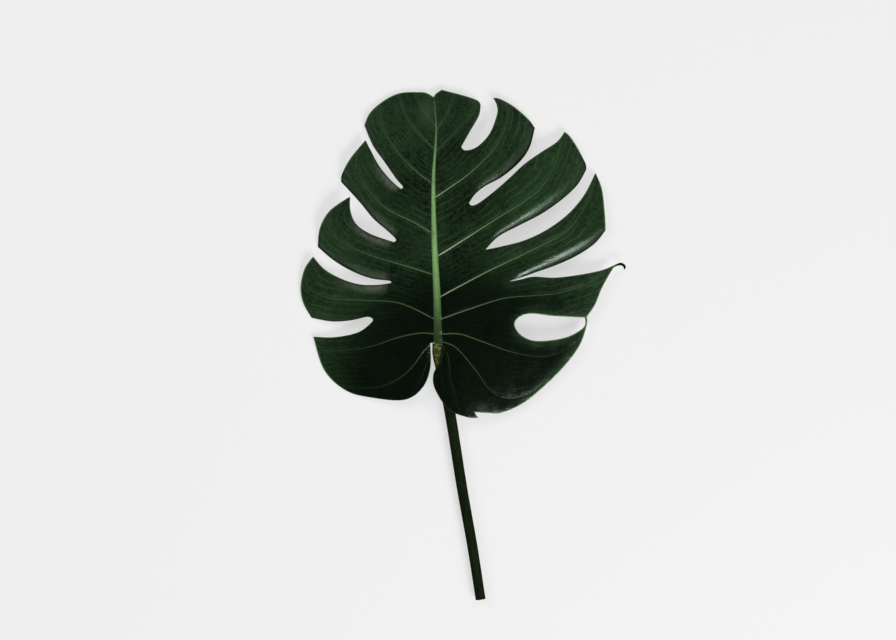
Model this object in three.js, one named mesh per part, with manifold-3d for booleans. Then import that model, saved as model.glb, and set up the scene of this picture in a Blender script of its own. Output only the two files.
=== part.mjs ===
// A single cut monstera leaf, lying face up: the split blade with its midrib, and the leaf stalk.
// Millimetres, +Z up. The leaf is drawn with its knee, where blade and stalk meet, at x = 0, y = 0,
// and its tip towards +Y. The whole leaf is then centred over the surface that it lies on, z = 0.

import * as THREE from "three";
import { mergeVertices } from "three/addons/utils/BufferGeometryUtils.js";
import Module from "manifold-3d";

// Driving dimensions
const BLADE_THICKNESS = 0.8;
const DOME = { x: 28, y: 101, halfWidth: 179, halfLength: 181, height: 20 };
const BRIDGE = { x: 14, y: -66, width: 52, length: 62, height: 9 };
const FOLD = { depth: 2.5, width: 20, start: 25, end: 250, fade: 60 };
const STAND = 4;
const FLOOR_EASE = 3;
const CURL = { start: 0.12, full: 0.7 };
const GRID_STEP = 12;
const PRISM = { bottom: -20, top: 60 };
const TOUCH_GAP = 0.3;

// Midrib: half widths and half thicknesses at the knee and at the tip, and how far it stands proud
const MIDRIB = { baseWidth: 4.8, tipWidth: 0.8, baseDepth: 5.4, tipDepth: 0.9, proud: 0.5, steps: 34 };
const MIDRIB_ROUTE = [[0, 0], [-1, 50], [-4, 115], [-5, 181], [-2, 236], [-4.5, 271]];

// Stalk: radii at the cut end and under the blade, and the thicker, wrinkled knee
const STALK = { cutRadius: 5.5, topRadius: 6.1, jointRadius: 5.5, steps: 56 };
const KNEE = { swell: 0.5, middle: 16, length: 13, rise: 7.2, riseLength: 22 };
const STALK_ROUTE = [[47, -281], [38, -223], [27, -161], [13, -74], [3.6, -26], [0.1, -8], [0, 0]];

const ROUND_SIDES = 14;

// The blade's margin, clockwise seen from above, as smooth strokes from one corner to the next
const MARGIN = [
  // tip, right of the notch
  [[-5, 274], [-2, 278], [4, 282]],
  [[4, 282], [25, 276.5], [43, 270.5], [47, 265]],
  // first split on the right
  [[47, 265], [45, 253], [35, 235], [25.5, 218]],
  [[25.5, 218], [30, 214], [43, 218], [57, 233], [65, 254], [65, 264], [61, 273]],
  [[61, 273], [69, 271.5], [84, 263], [100, 249], [107, 240]],
  // second split on the right
  [[107, 240], [101, 218], [89, 201], [70, 185], [52, 175], [41, 166], [34, 156]],
  [[34, 156], [37, 153], [45, 156], [62, 169], [79, 184], [95, 199], [113, 212], [131, 224], [140, 235.5]],
  [[140, 235.5], [146, 230], [155, 216], [163, 201], [164, 194]],
  // third split on the right
  [[164, 194], [154, 177], [136, 160], [113, 144], [88, 131], [66, 119], [52, 104.5]],
  [[52, 104.5], [69, 108], [95, 115], [120, 127], [143, 144], [161, 165], [174, 190]],
  [[174, 190], [181, 172], [184, 146], [185, 126.5]],
  // fourth split on the right, with the hooked tip of the lobe below it
  [[185, 126.5], [173, 112], [153, 98.5], [130, 88], [106, 79.5], [78, 69.5]],
  [[78, 69.5], [91, 72], [105, 75], [128, 74], [154, 77], [179, 82], [193.5, 87.5]],
  [[193.5, 87.5], [197, 89.2], [201, 90.7], [204, 90], [206.5, 88], [207.2, 85.3], [205, 82.7]],
  [[205, 82.7], [205.1, 84.8], [203.9, 86.7], [201.3, 87.8], [197.5, 87.2], [193.5, 84.8]],
  [[193.5, 84.8], [188, 76], [180, 61], [173, 44], [164, 31]],
  // right basal lobe, out past the closed hole, round its torn nick and back to the knee
  [[164, 31], [164, 22], [156, -1], [136, -27.5], [108, -54], [90, -67], [70, -75], [55, -75], [40.5, -74]],
  [[40.5, -74], [42, -77.5], [44.5, -80.3]],
  [[44.5, -80.3], [32, -79.5], [12, -71], [-3, -49], [-5, -32], [3, -17], [5.5, -4], [4, -0.5]],
  [[4, -0.5], [-4, 2.5], [-8.5, 1.5]],
  // left basal lobe
  [[-8.5, 1.5], [-8.5, -25], [-17, -47], [-37, -60.5], [-72, -58.5], [-102, -50.5], [-126, -28], [-138, 9]],
  // fourth split on the left
  [[-138, 9], [-114, 8.5], [-88, 14], [-73, 25], [-72, 29]],
  [[-72, 29], [-78, 31], [-97, 27], [-118, 26], [-140, 30]],
  [[-140, 30], [-149, 46], [-152, 64], [-147.5, 84], [-138, 97.5]],
  // third split on the left
  [[-138, 97.5], [-126, 84], [-108, 73.5], [-88, 67], [-68, 66], [-52, 68]],
  [[-52, 68], [-53, 70.5], [-74, 73.5], [-96, 82], [-116, 94], [-133, 108.5]],
  [[-133, 108.5], [-130.5, 129], [-119.5, 148], [-97, 163.5]],
  // second split on the left
  [[-97, 163.5], [-96.5, 148], [-90, 133], [-74, 122], [-48.5, 113]],
  [[-48.5, 113], [-46, 116], [-56, 126], [-71, 139], [-85, 156], [-98, 170.5], [-107, 180]],
  [[-107, 180], [-106, 189], [-96, 207], [-80, 226]],
  // first split on the left
  [[-80, 226], [-74, 214], [-65, 197.5], [-53, 182.5], [-41, 171.5]],
  [[-41, 171.5], [-38.5, 174], [-46, 183], [-59.5, 202.5], [-72, 220.5], [-81.5, 243]],
  [[-81.5, 243], [-75, 257], [-59.5, 270.5], [-42, 278.5], [-22, 279.5], [-13, 278.5], [-5, 274]],
];

// The one split that the margin closes again, low on the right
const HOLE = [
  [162, 30], [150, 30.5], [126, 32], [103, 34.5], [90, 31], [84, 23], [90, 12], [104, 5], [123, 5],
  [143, 9], [158, 17], [162.5, 23],
];

// Each split's middle line from its inner end outwards, and how far the lobe beyond it curls down there
const CURLS = [
  { line: [[27, 216], [50, 227], [56, 262]], side: 1, drop: 3, reach: 12 },
  { line: [[35, 155], [62, 175], [96, 205], [124, 238]], side: 1, drop: 8, reach: 15 },
  { line: [[52, 104], [102, 128], [148, 160], [170, 192]], side: 1, drop: 9, reach: 15 },
  { line: [[80, 70], [118, 78], [155, 89], [197, 108]], side: 1, drop: 8, reach: 15 },
  { line: [[-39, 172], [-59, 195], [-76, 226]], side: -1, drop: 3, reach: 12 },
  { line: [[-46, 114], [-75, 134], [-104, 172]], side: -1, drop: 6, reach: 14 },
  { line: [[-51, 69], [-97, 76], [-137, 103]], side: -1, drop: 6, reach: 14 },
  { line: [[-73, 28], [-112, 18], [-142, 20]], side: -1, drop: 4, reach: 14 },
];

const COLOURS = { blade: 0x2b4230, stalk: 0x3e5a2c };

const wasm = await Module();
wasm.setup();

function toPoints(pairs) {
  return pairs.map(([x, y]) => new THREE.Vector2(x, y));
}

function smoothStep(value) {
  return THREE.MathUtils.smoothstep(value, 0, 1);
}

// Nearest place on a polyline: distance, fraction along it, and the side it is seen from (left is +1)
function nearestOnLine(line, x, y) {
  let best = { distance: Infinity, along: 0, side: 1 };
  for (let i = 0; i + 1 < line.length; i += 1) {
    const [ax, ay] = line[i];
    const dx = line[i + 1][0] - ax;
    const dy = line[i + 1][1] - ay;
    const share = THREE.MathUtils.clamp(((x - ax) * dx + (y - ay) * dy) / (dx * dx + dy * dy), 0, 1);
    const distance = Math.hypot(x - ax - share * dx, y - ay - share * dy);
    if (distance < best.distance) {
      const side = Math.sign(dx * (y - ay) - dy * (x - ax)) || 1;
      best = { distance, along: (i + share) / (line.length - 1), side };
    }
  }
  return best;
}

// How far the lobes' lower margins curl down at a point
function curlDrop(x, y) {
  let drop = 0;
  for (const curl of CURLS) {
    const near = nearestOnLine(curl.line, x, y);
    if (near.side === curl.side) {
      const grown = smoothStep((near.along - CURL.start) / (CURL.full - CURL.start));
      drop = Math.max(drop, curl.drop * grown * Math.exp(-((near.distance / curl.reach) ** 2)));
    }
  }
  return drop;
}

// Where the middle of the midrib is, sideways, at a distance along the leaf
const midribCurve = new THREE.SplineCurve(toPoints(MIDRIB_ROUTE));

function midribX(y) {
  const first = MIDRIB_ROUTE[0];
  const last = MIDRIB_ROUTE[MIDRIB_ROUTE.length - 1];
  const share = THREE.MathUtils.clamp((y - first[1]) / (last[1] - first[1]), 0, 1);
  return midribCurve.getPointAt(share).x;
}

// The blade's middle surface before its lobes curl: a dome that stands on its curled margins, bridges the
// stalk and folds at the midrib
function domeFree(x, y) {
  const across = (x - DOME.x) / DOME.halfWidth;
  const lengthwise = (y - DOME.y) / DOME.halfLength;
  const dome = DOME.height * (1 - across * across - lengthwise * lengthwise);
  const bridgeX = (x - BRIDGE.x) / BRIDGE.width;
  const bridgeY = (y - BRIDGE.y) / BRIDGE.length;
  const bridge = BRIDGE.height * Math.exp(-bridgeX * bridgeX - bridgeY * bridgeY);
  const foldX = (x - midribX(y)) / FOLD.width;
  const foldY = smoothStep((y - FOLD.start) / FOLD.fade) * smoothStep((FOLD.end - y) / FOLD.fade);
  const fold = FOLD.depth * foldY * Math.exp(-foldX * foldX);
  return STAND + dome + bridge - fold;
}

// Where the blade would pass below the surface that it lies on, it eases out flat instead
function easedHeight(free) {
  return (free + Math.hypot(free, FLOOR_EASE)) / 2 + BLADE_THICKNESS / 2;
}

function domeHeight(x, y) {
  return easedHeight(domeFree(x, y));
}

function bladeHeight(x, y) {
  return easedHeight(domeFree(x, y) - curlDrop(x, y));
}

// Move every corner of a geometry, and merge the corners that its faces share
function reshape(geometry, move) {
  const position = geometry.attributes.position;
  const corner = new THREE.Vector3();
  for (let i = 0; i < position.count; i += 1) {
    corner.fromBufferAttribute(position, i);
    move(corner);
    position.setXYZ(i, corner.x, corner.y, corner.z);
  }
  geometry.deleteAttribute("normal");
  geometry.deleteAttribute("uv");
  return mergeVertices(geometry, 1e-4);
}

function toSolid(geometry) {
  const bare = geometry.index ? geometry : mergeVertices(geometry, 1e-4);
  const vertProperties = new Float32Array(bare.attributes.position.array);
  const triVerts = new Uint32Array(bare.index.array);
  return new wasm.Manifold(new wasm.Mesh({ numProp: 3, vertProperties, triVerts }));
}

function toGeometry(solid) {
  const mesh = solid.getMesh();
  const geometry = new THREE.BufferGeometry();
  geometry.setAttribute("position", new THREE.BufferAttribute(mesh.vertProperties, 3));
  geometry.setIndex(new THREE.BufferAttribute(mesh.triVerts, 1));
  geometry.computeVertexNormals();
  return geometry;
}

// A round bar along a route: place(share) gives its centre, size(share) its half width and half height
function barAlong(place, size, steps) {
  const bar = new THREE.CylinderGeometry(1, 1, 1, ROUND_SIDES, steps);
  const up = new THREE.Vector3(0, 0, 1);
  const nudge = 1e-3;
  return reshape(bar, (corner) => {
    const share = corner.y + 0.5;
    const centre = place(share);
    const before = place(Math.max(0, share - nudge));
    const ahead = place(Math.min(1, share + nudge)).sub(before).setZ(0).normalize();
    const side = ahead.clone().cross(up);
    const [halfWidth, halfHeight] = size(share);
    const [sideways, upwards] = [corner.x * halfWidth, corner.z * halfHeight];
    corner.copy(centre).addScaledVector(side, sideways).addScaledVector(up, upwards);
  });
}

function marginPrism() {
  const outline = new THREE.Shape();
  outline.moveTo(MARGIN[0][0][0], MARGIN[0][0][1]);
  for (const stroke of MARGIN) {
    outline.splineThru(toPoints(stroke.slice(1)));
  }
  const hole = new THREE.Path();
  hole.moveTo(HOLE[0][0], HOLE[0][1]);
  hole.splineThru(toPoints([...HOLE.slice(1), HOLE[0]]));
  outline.holes.push(hole);
  const prism = new THREE.ExtrudeGeometry(outline, {
    depth: PRISM.top - PRISM.bottom,
    bevelEnabled: false,
    curveSegments: 2,
  });
  prism.translate(0, 0, PRISM.bottom);
  return reshape(prism, () => {});
}

// A block under the whole leaf, its top following the blade's curve at the given offset
function curvedBlock(offset, bottom) {
  const points = MARGIN.flat();
  const xs = points.map((point) => point[0]);
  const ys = points.map((point) => point[1]);
  const low = new THREE.Vector2(Math.min(...xs), Math.min(...ys)).subScalar(GRID_STEP);
  const high = new THREE.Vector2(Math.max(...xs), Math.max(...ys)).addScalar(GRID_STEP);
  const columns = Math.round((high.x - low.x) / GRID_STEP);
  const rows = Math.round((high.y - low.y) / GRID_STEP);
  const block = new THREE.BoxGeometry(high.x - low.x, high.y - low.y, 2, columns, rows, 1);
  block.translate((low.x + high.x) / 2, (low.y + high.y) / 2, 0);
  return reshape(block, (corner) => {
    corner.z = corner.z > 0 ? domeHeight(corner.x, corner.y) + offset : bottom;
  });
}

// The blade before its ribs: a thin curved slice of the margin's prism, its lobes then curled down
function lamina() {
  const half = BLADE_THICKNESS / 2;
  const upper = toSolid(curvedBlock(half, PRISM.bottom));
  const lower = toSolid(curvedBlock(-half, PRISM.bottom - 10));
  const slice = upper.intersect(toSolid(marginPrism())).subtract(lower);
  return toSolid(reshape(toGeometry(slice), (corner) => {
    corner.z += bladeHeight(corner.x, corner.y) - domeHeight(corner.x, corner.y);
  }));
}

function midribBar() {
  const start = new THREE.Vector2(0, TOUCH_GAP / 2);
  const size = (share) => [
    THREE.MathUtils.lerp(MIDRIB.baseWidth, MIDRIB.tipWidth, share),
    THREE.MathUtils.lerp(MIDRIB.baseDepth, MIDRIB.tipDepth, share),
  ];
  const place = (share) => {
    const flat = midribCurve.getPointAt(share).add(start);
    const top = bladeHeight(flat.x, flat.y) + BLADE_THICKNESS / 2 + MIDRIB.proud * (1 - share);
    return new THREE.Vector3(flat.x, flat.y, top - size(share)[1]);
  };
  return barAlong(place, size, MIDRIB.steps);
}

function makeBlade() {
  return toGeometry(lamina().add(toSolid(midribBar())));
}

function makeStalk() {
  const route = new THREE.CatmullRomCurve3(STALK_ROUTE.map(([x, y]) => new THREE.Vector3(x, y, 0)));
  const length = route.getLength();
  const radius = (share) => {
    const fromKnee = (1 - share) * length;
    const swell = KNEE.swell * Math.exp(-(((fromKnee - KNEE.middle) / KNEE.length) ** 2));
    const narrowing = (STALK.topRadius - STALK.jointRadius) * Math.exp(-fromKnee / 4);
    return THREE.MathUtils.lerp(STALK.cutRadius, STALK.topRadius, share) + swell - narrowing;
  };
  const place = (share) => {
    const centre = route.getPointAt(share);
    const fromKnee = (1 - share) * length;
    centre.z = radius(share) + KNEE.rise * Math.exp(-((fromKnee / KNEE.riseLength) ** 2));
    centre.y -= TOUCH_GAP / 2;
    return centre;
  };
  return barAlong(place, (share) => [radius(share), radius(share)], STALK.steps);
}

function makeMesh(name, geometry, colour, roughness) {
  const material = new THREE.MeshStandardMaterial({ color: colour, roughness, metalness: 0 });
  const mesh = new THREE.Mesh(geometry, material);
  mesh.name = name;
  return mesh;
}

const leaf = new THREE.Group();
leaf.add(makeMesh("leaf_blade", makeBlade(), COLOURS.blade, 0.45));
leaf.add(makeMesh("petiole", makeStalk(), COLOURS.stalk, 0.5));

// The frame's origin: the middle of the leaf's box, on the surface that it lies on
const box = new THREE.Box3().setFromObject(leaf);
const middle = box.getCenter(new THREE.Vector3());
leaf.position.set(-middle.x, -middle.y, -box.min.z);
leaf.updateMatrixWorld(true);

export default leaf;
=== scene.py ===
"""A cut monstera leaf, lying face up: the split blade with its veins, and its round stalk."""

import math

import bmesh
import bpy
import numpy as np
from bpy.props import FloatProperty, FloatVectorProperty, IntProperty, PointerProperty
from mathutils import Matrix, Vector
from mathutils.geometry import delaunay_2d_cdt
from mathutils.kdtree import KDTree


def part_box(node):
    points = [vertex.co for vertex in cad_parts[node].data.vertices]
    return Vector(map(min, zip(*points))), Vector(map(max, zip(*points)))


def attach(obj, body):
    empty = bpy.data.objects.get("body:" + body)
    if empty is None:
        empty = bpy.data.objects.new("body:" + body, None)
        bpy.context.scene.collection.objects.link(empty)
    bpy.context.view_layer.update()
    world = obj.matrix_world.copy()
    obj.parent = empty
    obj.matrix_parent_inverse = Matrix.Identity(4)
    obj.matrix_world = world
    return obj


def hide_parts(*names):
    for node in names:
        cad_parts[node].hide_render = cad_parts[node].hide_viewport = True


bl_info = {
    "name": "Monstera Leaf",
    "version": (1, 0, 0),
    "blender": (4, 5, 0),
    "location": "View3D > Sidebar > Leaf",
    "description": "Builds a cut monstera leaf with its veins, its stalk and a plain studio",
    "category": "Object",
}

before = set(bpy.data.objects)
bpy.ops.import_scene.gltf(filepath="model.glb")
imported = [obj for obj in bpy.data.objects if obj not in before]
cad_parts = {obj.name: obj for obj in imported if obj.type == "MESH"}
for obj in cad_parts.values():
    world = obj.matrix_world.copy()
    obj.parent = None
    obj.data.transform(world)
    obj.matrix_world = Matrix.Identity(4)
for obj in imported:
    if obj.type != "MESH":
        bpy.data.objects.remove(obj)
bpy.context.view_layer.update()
MM = 0.001

# ------------------------------------------------------------------ the leaf's drawing, in millimetres
# The knee, where the blade meets its stalk, is at (0, 0), and the leaf's tip is towards +Y.

# The margin, clockwise seen from above, as smooth strokes from one corner to the next
MARGIN = [
    # tip, right of the notch
    [(-5, 274), (-2, 278), (4, 282)],
    [(4, 282), (25, 276.5), (43, 270.5), (47, 265)],
    # first split on the right
    [(47, 265), (45, 253), (35, 235), (25.5, 218)],
    [(25.5, 218), (30, 214), (43, 218), (57, 233), (65, 254), (65, 264), (61, 273)],
    [(61, 273), (69, 271.5), (84, 263), (100, 249), (107, 240)],
    # second split on the right
    [(107, 240), (101, 218), (89, 201), (70, 185), (52, 175), (41, 166), (34, 156)],
    [(34, 156), (37, 153), (45, 156), (62, 169), (79, 184), (95, 199), (113, 212), (131, 224), (140, 235.5)],
    [(140, 235.5), (146, 230), (155, 216), (163, 201), (164, 194)],
    # third split on the right
    [(164, 194), (154, 177), (136, 160), (113, 144), (88, 131), (66, 119), (52, 104.5)],
    [(52, 104.5), (69, 108), (95, 115), (120, 127), (143, 144), (161, 165), (174, 190)],
    [(174, 190), (181, 172), (184, 146), (185, 126.5)],
    # fourth split on the right, with the hooked tip of the lobe below it
    [(185, 126.5), (173, 112), (153, 98.5), (130, 88), (106, 79.5), (78, 69.5)],
    [(78, 69.5), (91, 72), (105, 75), (128, 74), (154, 77), (179, 82), (193.5, 87.5)],
    [(193.5, 87.5), (197, 89.2), (201, 90.7), (204, 90), (206.5, 88), (207.2, 85.3), (205, 82.7)],
    [(205, 82.7), (205.1, 84.8), (203.9, 86.7), (201.3, 87.8), (197.5, 87.2), (193.5, 84.8)],
    [(193.5, 84.8), (188, 76), (180, 61), (173, 44), (164, 31)],
    # right basal lobe, out past the closed hole, round its torn nick and back to the knee
    [(164, 31), (164, 22), (156, -1), (136, -27.5), (108, -54), (90, -67), (70, -75), (55, -75), (40.5, -74)],
    [(40.5, -74), (42, -77.5), (44.5, -80.3)],
    [(44.5, -80.3), (32, -79.5), (12, -71), (-3, -49), (-5, -32), (3, -17), (5.5, -4), (4, -0.5)],
    [(4, -0.5), (-4, 2.5), (-8.5, 1.5)],
    # left basal lobe
    [(-8.5, 1.5), (-8.5, -25), (-17, -47), (-37, -60.5), (-72, -58.5), (-102, -50.5), (-126, -28), (-138, 9)],
    # fourth split on the left
    [(-138, 9), (-114, 8.5), (-88, 14), (-73, 25), (-72, 29)],
    [(-72, 29), (-78, 31), (-97, 27), (-118, 26), (-140, 30)],
    [(-140, 30), (-149, 46), (-152, 64), (-147.5, 84), (-138, 97.5)],
    # third split on the left
    [(-138, 97.5), (-126, 84), (-108, 73.5), (-88, 67), (-68, 66), (-52, 68)],
    [(-52, 68), (-53, 70.5), (-74, 73.5), (-96, 82), (-116, 94), (-133, 108.5)],
    [(-133, 108.5), (-130.5, 129), (-119.5, 148), (-97, 163.5)],
    # second split on the left
    [(-97, 163.5), (-96.5, 148), (-90, 133), (-74, 122), (-48.5, 113)],
    [(-48.5, 113), (-46, 116), (-56, 126), (-71, 139), (-85, 156), (-98, 170.5), (-107, 180)],
    [(-107, 180), (-106, 189), (-96, 207), (-80, 226)],
    # first split on the left
    [(-80, 226), (-74, 214), (-65, 197.5), (-53, 182.5), (-41, 171.5)],
    [(-41, 171.5), (-38.5, 174), (-46, 183), (-59.5, 202.5), (-72, 220.5), (-81.5, 243)],
    [(-81.5, 243), (-75, 257), (-59.5, 270.5), (-42, 278.5), (-22, 279.5), (-13, 278.5), (-5, 274)],
]

# The one split that the margin closes again, low on the right
HOLE = [
    (162, 30), (150, 30.5), (126, 32), (103, 34.5), (90, 31), (84, 23), (90, 12), (104, 5), (123, 5),
    (143, 9), (158, 17), (162.5, 23), (162, 30),
]

MIDRIB_ROUTE = [(0, 0), (-1, 50), (-4, 115), (-5, 181), (-2, 236), (-4.5, 271)]

# Side veins from the leaf's tip round to the knee: half width at the root, paleness, and route outwards
RIGHT_VEINS = [
    (0.0, 0.0, [(-2, 226), (-3, 250), (-5, 274)]),
    (0.2, 0.4, [(-2, 236), (8, 252), (15, 266), (19, 279)]),
    (0.3, 0.4, [(-3, 212), (13, 228), (30, 246), (38, 260), (41, 271)]),
    (0.8, 0.9, [(-5, 161), (13, 173), (34, 188), (58, 211), (70, 229), (77, 248), (78, 266)]),
    (0.95, 1.0, [(-3, 96), (26, 114), (68, 141), (104, 164), (122, 185), (132, 209), (138, 230)]),
    (1.0, 1.0, [(-1, 51), (19, 62), (57, 82), (101, 103), (140, 124), (159, 148), (169, 168), (173, 185)]),
    (0.9, 0.85, [(2, 28), (30, 38), (71, 51), (101, 54), (132, 57), (162, 66), (188, 81), (197, 86)]),
    (0.8, 0.7, [(3, 12), (24, 12), (48, 4), (79, -7), (110, -13), (134, -9), (157, 6)]),
    (0.7, 0.55, [(3, 4), (20, -3), (41, -27), (57, -49), (75, -59), (96, -56), (116, -44)]),
    (0.35, 0.3, [(4, -1), (11, -12), (14, -38), (20, -58), (27, -77)]),
]
LEFT_VEINS = [
    (0.0, 0.0, [(-2, 226), (-3, 250), (-5, 274)]),
    (0.2, 0.4, [(-2, 240), (-13, 255), (-21, 268), (-25, 279)]),
    (0.3, 0.45, [(-4, 216), (-20, 232), (-35, 252), (-43, 277)]),
    (0.55, 0.55, [(-6, 178), (-24, 191), (-46, 214), (-58, 233), (-64, 252), (-64, 267)]),
    (0.75, 0.7, [(-5, 122), (-27, 135), (-58, 151), (-79, 174), (-90, 195), (-90, 213)]),
    (0.75, 0.7, [(-4, 77), (-36, 87), (-75, 99), (-108, 114), (-121, 132), (-121, 146)]),
    (0.8, 0.7, [(-3, 28), (-42, 46), (-82, 49), (-121, 52), (-142, 62), (-150, 78)]),
    (0.8, 0.6, [(-3, 12), (-20, 13), (-45, 8), (-75, -2), (-105, -6), (-134, -6)]),
    (0.65, 0.5, [(-3, 4), (-15, -6), (-30, -26), (-50, -41), (-76, -48), (-108, -46)]),
    (0.35, 0.3, [(-4, 1), (-12, -20), (-19, -38), (-30, -57)]),
]

# Where the stalk runs, from its cut end to the knee
STALK_ROUTE = [(47, -281), (38, -223), (27, -161), (13, -74), (3.6, -26), (0.1, -8), (0, 0)]
# Its last stretch past the knee, hidden inside the midrib
STALK_TAIL = [(-0.02, 0.6), (-0.04, 1.2), (-0.05, 1.8)]
STALK_RIDGES = 13
WRINKLES_PER_MM = 2.2

# The blade's form, as its solid has it
DOME = {"x": 28, "y": 101, "half_width": 179, "half_length": 181, "height": 20}
BRIDGE = {"x": 14, "y": -66, "half_width": 52, "half_length": 62, "height": 9}
FOLD = {"depth": 2.5, "width": 20, "start": 25, "end": 250, "fade": 60}
STAND = 4
FLOOR_EASE = 3
SOLID_THICKNESS = 0.8

# How the curls and the rolled margins grow: shares of a split's length, distances from its inner end, from
# its middle line, and shares of the rolled strip's width
CURL_START = 0.12
CURL_FULL = 0.7
ROLL = {"opens": 60, "upper_grows": 16, "lower_grows": 14, "reach": 28, "fade": 12}
CRISP_EDGE = {"share": 0.22, "width": 0.24}

# The blade's relief: waves over the lobes, swelling beside the veins, the margin and the lifted hook
WAVES = {"across": 19, "across_start": 1.3, "lengthwise": 24, "lengthwise_start": 0.4}
QUILT_REACH = 9
MARGIN_REACH = 3.5
HOOK_LIFT = {"start": 188, "length": 18}

# Where the face's painted shade is darkest, where the hooked tip starts, and the small painted sheen beside
# the notch
KNEE_SHADE = {"x": 30, "y": -40, "half_width": 150, "half_length": 130, "reach": 1.3, "fade": 0.6}
HOOK = {"start": 194, "fade": 5}
TIP_SHEEN_PATCH = {"x": -13, "y": 258, "half_width": 9, "half_length": 15}
# Gaps to a margin or vein are told apart up to this far
FAR = 20.0

# Each split's middle line from its inner end outwards, the side of the lobe nearer the leaf's tip (left is
# +1), how far that lobe's margin curls down and how wide, and how far the other lobe's margin rolls down
CURLS = [
    ([(27, 216), (50, 227), (56, 262)], 1, 3, 12, 1.0),
    ([(35, 155), (62, 175), (96, 205), (124, 238)], 1, 8, 15, 1.0),
    ([(52, 104), (102, 128), (148, 160), (170, 192)], 1, 9, 15, 1.5),
    ([(80, 70), (118, 78), (155, 89), (197, 108)], 1, 8, 15, 1.0),
    ([(-39, 172), (-59, 195), (-76, 226)], -1, 3, 12, 2.6),
    ([(-46, 114), (-75, 134), (-104, 172)], -1, 6, 14, 3.2),
    ([(-51, 69), (-97, 76), (-137, 103)], -1, 6, 14, 2.8),
    ([(-73, 28), (-112, 18), (-142, 20)], -1, 4, 14, 2.0),
]


# ------------------------------------------------------------------ curves

def spline(points, per_span, power=0.0):
    """Points on a smooth curve through the given ones; power 0.5 keeps it tight where they are uneven."""
    knots = np.array(points, float)
    if power:
        ends = (2 * knots[0] - knots[1], 2 * knots[-1] - knots[-2])
    else:
        ends = (knots[0], knots[-1])
    padded = np.vstack([ends[0], knots, ends[1]])
    parts = []
    for i in range(len(knots) - 1):
        p0, p1, p2, p3 = padded[i:i + 4]
        gaps = [max(np.linalg.norm(b - a), 1e-9) ** power for a, b in ((p0, p1), (p1, p2), (p2, p3))]
        if power:
            t1 = ((p1 - p0) / gaps[0] - (p2 - p0) / (gaps[0] + gaps[1]) + (p2 - p1) / gaps[1]) * gaps[1]
            t2 = ((p2 - p1) / gaps[1] - (p3 - p1) / (gaps[1] + gaps[2]) + (p3 - p2) / gaps[2]) * gaps[1]
        else:
            t1 = (p2 - p0) / 2
            t2 = (p3 - p1) / 2
        t = np.linspace(0, 1, per_span, endpoint=False)[:, None]
        cubic = (2 * p1 - 2 * p2 + t1 + t2) * t ** 3 + (3 * p2 - 3 * p1 - 2 * t1 - t2) * t ** 2
        parts.append(cubic + t1 * t + p1)
    parts.append(knots[-1:])
    return np.vstack(parts)


def lengths_along(line):
    """The line's length from its start to each of its points."""
    return np.concatenate([[0], np.cumsum(np.linalg.norm(np.diff(line, axis=0), axis=1))])


def right_of(slope):
    """Unit vectors to the right of the given directions."""
    return np.stack([slope[:, 1], -slope[:, 0]], axis=1) / np.linalg.norm(slope, axis=1)[:, None]


def even_steps(line, step):
    """The same line with its points about one step apart, its two ends kept."""
    lengths = lengths_along(line)
    count = max(1, round(lengths[-1] / step))
    wanted = np.linspace(0, lengths[-1], count + 1)
    return np.stack([np.interp(wanted, lengths, line[:, k]) for k in range(line.shape[1])], axis=1)


def margin_loop(step):
    strokes = [even_steps(spline(stroke, 12), step)[:-1] for stroke in MARGIN]
    return np.vstack(strokes)


def hole_loop(step):
    return even_steps(spline(HOLE, 12), step)[:-1]


def nearest_on_line(points, line):
    """Distance of each point to a polyline, the share of its length there, and the side (left is +1)."""
    start, span = line[:-1], np.diff(line, axis=0)
    lengths = np.linalg.norm(span, axis=1)
    reached = lengths_along(line)
    best = np.full(len(points), np.inf)
    along = np.zeros(len(points))
    side = np.ones(len(points))
    for i in range(len(span)):
        offset = points - start[i]
        share = np.clip(offset @ span[i] / lengths[i] ** 2, 0, 1)
        gap = np.linalg.norm(offset - share[:, None] * span[i], axis=1)
        closer = gap < best
        cross = span[i][0] * offset[:, 1] - span[i][1] * offset[:, 0]
        best = np.where(closer, gap, best)
        along = np.where(closer, (reached[i] + share * lengths[i]) / reached[-1], along)
        side = np.where(closer, np.where(cross >= 0, 1, -1), side)
    return best, along, side


def inside(points, loops):
    """Whether each point lies inside the closed loops, by counting crossings."""
    result = np.zeros(len(points), bool)
    for loop in loops:
        ahead = np.roll(loop, -1, axis=0)
        for (ax, ay), (bx, by) in zip(loop, ahead):
            if ay == by:
                continue
            spans = (points[:, 1] < ay) != (points[:, 1] < by)
            crossing = ax + (points[:, 1] - ay) * (bx - ax) / (by - ay)
            result ^= spans & (points[:, 0] < crossing)
    return result


def smooth_step(value):
    value = np.clip(value, 0, 1)
    return value * value * (3 - 2 * value)


def bump_of(distance, reach):
    return np.exp(-(distance / reach) ** 2)


def oval_gap(points, oval):
    """0 in an oval's middle and 1 on its line."""
    across = (points[:, 0] - oval["x"]) / oval["half_width"]
    lengthwise = (points[:, 1] - oval["y"]) / oval["half_length"]
    return np.hypot(across, lengthwise)


# ------------------------------------------------------------------ the blade

MIDRIB_LINE = spline(MIDRIB_ROUTE, 24)


def midrib_half_width(along, settings):
    return settings.midrib_tip + (settings.midrib_base - settings.midrib_tip) * (1 - along)


def vein_half_width(root, along):
    """Side veins thin out steadily, and stay a fine line at the margin."""
    return np.maximum(root * (1 - 0.85 * along), 0.08)


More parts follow.
